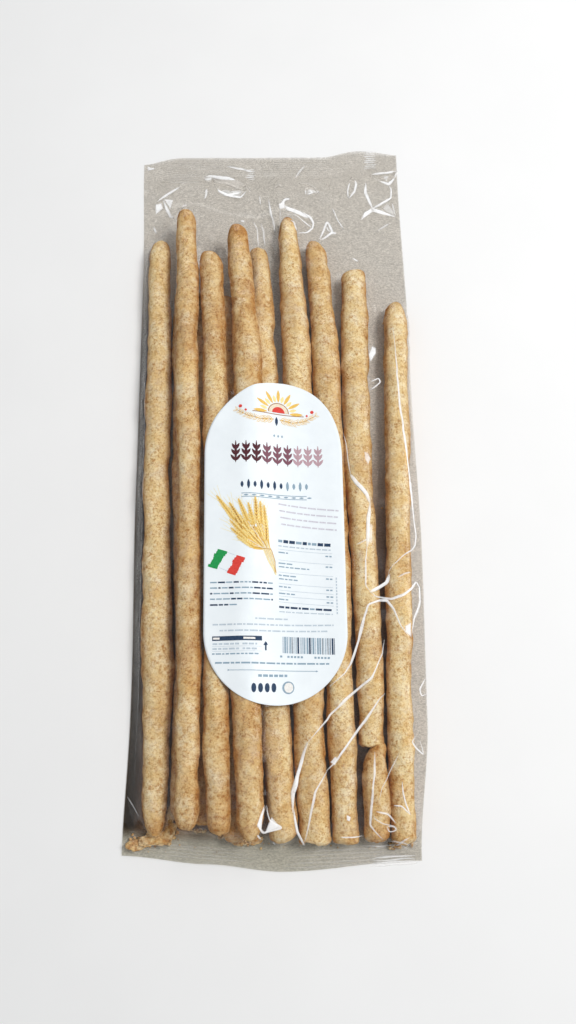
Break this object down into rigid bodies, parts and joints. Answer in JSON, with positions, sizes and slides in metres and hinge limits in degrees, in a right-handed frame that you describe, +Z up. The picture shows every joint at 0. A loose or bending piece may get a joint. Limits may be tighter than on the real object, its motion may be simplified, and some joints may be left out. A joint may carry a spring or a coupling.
{
  "type": "pack of breadsticks",
  "caption": "Clear sealed film pack of long thin wholemeal breadsticks with an arched white paper label and flat end flaps, lying label side up.",
  "frame": {"origin": "middle of the pack's underside, on the surface that it rests on", "axes": "+X across the pack, +Y along it towards the long empty flap, +Z up out of the label side"},
  "size_m": [0.1468, 0.3766, 0.0261],
  "materials": {
    "film": "thin clear film, glossy and creased, with crimped end seals and a fin seam on the back",
    "bread": "dry baked wholemeal crust, matte, golden tan with brown bran flecks",
    "label": null
  },
  "bodies": {
    "root": {"bag": "film", "label": "label"}
  },
  "joints": []
}
